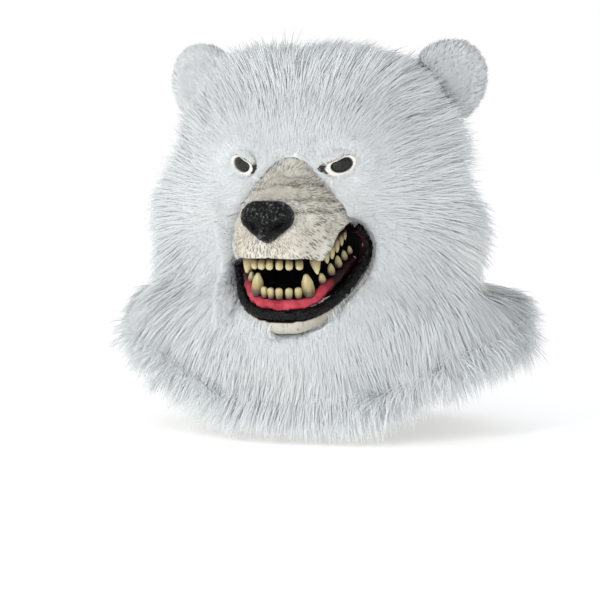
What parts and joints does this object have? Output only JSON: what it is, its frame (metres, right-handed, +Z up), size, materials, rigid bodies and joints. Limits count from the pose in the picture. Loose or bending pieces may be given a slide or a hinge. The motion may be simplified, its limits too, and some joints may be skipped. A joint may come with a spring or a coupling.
{
  "type": "bear mask",
  "caption": "Over-the-head bear mask: white fur hood with cupped ears and shoulder cape, painted snarling snout, black nose and lip, ivory teeth.",
  "frame": {"origin": "inner crown of the hood's hollow, where the mask rests on the wearer's head", "axes": "+Z up, -Y the way the face looks, +X the bear's left"},
  "size_m": [0.456, 0.3679, 0.3979],
  "materials": {
    "fur": "long white pile",
    "latex": "painted cream with dark hair strokes",
    "nose": "leathery gloss",
    "lip": "glossy black",
    "gum": "wet gloss",
    "cloth": "matt black",
    "eye": "dark see-through",
    "tooth": "ivory with brown roots"
  },
  "bodies": {
    "root": {"fur_hood": "fur", "neck_cape": "fur", "muzzle": "latex", "jaw": "latex", "lip": "lip", "nose": "nose", "upper_gum": "gum", "lower_gum": "gum", "mouth_lining": "cloth", "ear_left": "fur", "eye_left": "eye", "eyelid_left": "latex", "ear_right": "fur", "eye_right": "eye", "eyelid_right": "latex", "upper_incisor_1": "tooth", "upper_incisor_2": "tooth", "upper_incisor_3": "tooth", "upper_incisor_4": "tooth", "upper_incisor_5": "tooth", "upper_incisor_6": "tooth", "upper_canine_left": "tooth", "upper_cheek_left_1": "tooth", "upper_cheek_left_2": "tooth", "upper_cheek_left_3": "tooth", "upper_cheek_left_4": "tooth", "upper_cheek_left_5": "tooth", "upper_canine_right": "tooth", "upper_cheek_right_1": "tooth", "upper_cheek_right_2": "tooth", "upper_cheek_right_3": "tooth", "upper_cheek_right_4": "tooth", "upper_cheek_right_5": "tooth", "lower_incisor_1": "tooth", "lower_incisor_2": "tooth", "lower_incisor_3": "tooth", "lower_incisor_4": "tooth", "lower_incisor_5": "tooth", "lower_canine_left": "tooth", "lower_cheek_left_1": "tooth", "lower_cheek_left_2": "tooth", "lower_cheek_left_3": "tooth", "lower_cheek_left_4": "tooth", "lower_cheek_left_5": "tooth", "lower_canine_right": "tooth", "lower_cheek_right_1": "tooth", "lower_cheek_right_2": "tooth", "lower_cheek_right_3": "tooth", "lower_cheek_right_4": "tooth", "lower_cheek_right_5": "tooth"}
  },
  "joints": []
}
